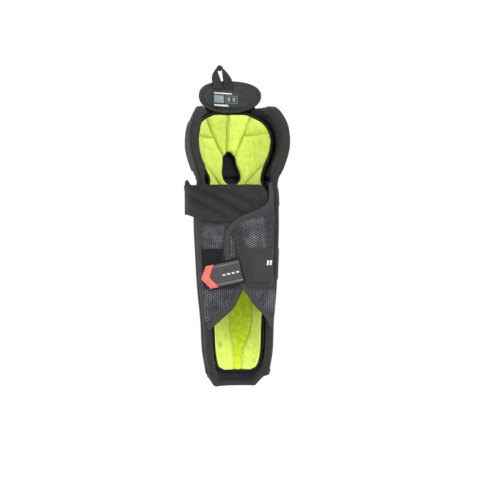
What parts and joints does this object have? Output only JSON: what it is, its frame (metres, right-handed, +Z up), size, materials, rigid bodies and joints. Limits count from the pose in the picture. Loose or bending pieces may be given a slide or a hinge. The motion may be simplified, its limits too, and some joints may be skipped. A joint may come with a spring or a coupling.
{
  "type": "ice hockey shin guard",
  "caption": "Hockey shin guard with a hinged knee section, padded wings, calf wraps with hook-and-loop straps, removable liners, a thigh pad and a hanging loop.",
  "frame": {"origin": "on the leg's axis, level with the guard's lower rim, where the leg's tunnel opens", "axes": "+Z up the leg, +Y towards the shin, -Y towards the calf, +X to the right seen from the calf"},
  "size_m": [0.1633, 0.152, 0.5094],
  "materials": {
    "shell_plastic": "satin moulded",
    "foam": "matt foam with a cloth skin",
    "lining_cloth": "matt knitted lining",
    "outer_cloth": "matt woven",
    "binding_tape": "matt woven tape",
    "liner_cloth": "quilted, brushed",
    "hook_and_loop": "fuzzy pile",
    "rivet_metal": "brushed",
    "webbing": "ribbed webbing",
    "mesh_cloth": "spacer mesh",
    "label_print": "printed patch",
    "wrap_cloth": "woven with a printed dot pattern",
    "elastic": "ribbed elastic",
    "strap_cloth": "soft laminated knit",
    "tab_rubber": "moulded, satin",
    "tab_coral": "moulded, satin"
  },
  "bodies": {
    "shin": {"shin_shell": "shell_plastic", "shin_foam": "foam", "shin_backing_fabric": "lining_cloth", "left_side_wall": "outer_cloth", "right_side_wall": "outer_cloth", "left_wall_binding": "binding_tape", "right_wall_binding": "binding_tape", "bottom_lip": "binding_tape", "shin_liner": "liner_cloth", "shin_liner_hooks": "hook_and_loop", "shell_rivets": "rivet_metal", "upper_strap_anchor": "webbing", "mid_strap_anchor": "webbing", "upper_strap_landing": "hook_and_loop", "knee_gusset": "outer_cloth"},
    "knee": {"knee_shell": "shell_plastic", "knee_foam": "foam", "knee_backing_fabric": "lining_cloth", "left_knee_wing": "outer_cloth", "right_knee_wing": "outer_cloth", "left_wing_piping": "binding_tape", "right_wing_piping": "binding_tape", "knee_liner": "liner_cloth", "knee_liner_hooks": "hook_and_loop", "thigh_hinge_fabric": "outer_cloth"},
    "thigh": {"thigh_pad": "mesh_cloth", "thigh_plate": "shell_plastic", "thigh_piping": "binding_tape", "size_label": "label_print"},
    "loop": {"hang_loop": "webbing"},
    "left_wrap": {"left_wrap": "wrap_cloth", "left_wrap_binding": "binding_tape", "loop_landing": "hook_and_loop"},
    "right_wrap": {"right_wrap": "wrap_cloth", "right_wrap_binding": "binding_tape", "keeper_strip": "binding_tape", "mid_elastic": "elastic", "upper_strap_root": "strap_cloth"},
    "upper_strap": {"upper_strap": "strap_cloth", "strap_hook_patch": "hook_and_loop", "strap_pull": "webbing"},
    "pull_tab": {"tab_backing": "hook_and_loop", "pull_tab": "tab_rubber", "tab_chevron": "tab_coral"}
  },
  "joints": [
    {"name": "knee_flex", "type": "hinge", "parent": "shin", "child": "knee", "pos_m": [0, 0.005, 0.3265], "axis": [1, 0, 0], "range_deg": [-3, 6], "stiffness_Nm_per_rad": 12, "deforming": ["knee_gusset"]},
    {"name": "thigh_flex", "type": "hinge", "parent": "knee", "child": "thigh", "pos_m": [-0.00455, 0.04326, 0.433], "axis": [0.9945, 0.1045, 0], "range_deg": [-8, 4.5], "stiffness_Nm_per_rad": 0.6, "deforming": ["thigh_hinge_fabric"]},
    {"name": "loop_swing", "type": "hinge", "parent": "thigh", "child": "loop", "pos_m": [-0.01672, 0.02036, 0.474], "axis": [0.9945, 0.1045, 0], "range_deg": [0, 80], "stiffness_Nm_per_rad": 0.01},
    {"name": "right_wrap_open", "type": "hinge", "parent": "shin", "child": "right_wrap", "pos_m": [0.0525, -0.0485, 0.2], "axis": [0, 0, 1], "range_deg": [0, 120]},
    {"name": "left_wrap_open", "type": "hinge", "parent": "shin", "child": "left_wrap", "pos_m": [-0.059, -0.0475, 0.18], "axis": [0, 0, 1], "range_deg": [-60, 0]},
    {"name": "strap_peel", "type": "hinge", "parent": "right_wrap", "child": "upper_strap", "pos_m": [0.0005, -0.0655, 0.29], "axis": [0, 0, 1], "range_deg": [0, 75]},
    {"name": "tab_peel", "type": "hinge", "parent": "right_wrap", "child": "pull_tab", "pos_m": [0.0028, -0.0745, 0.186], "axis": [-0.2079, 0, 0.9781], "range_deg": [0, 60]}
  ],
  "couplings": [
    {"joint": "left_wrap_open", "follows": "right_wrap_open", "ratio": -0.5}
  ]
}
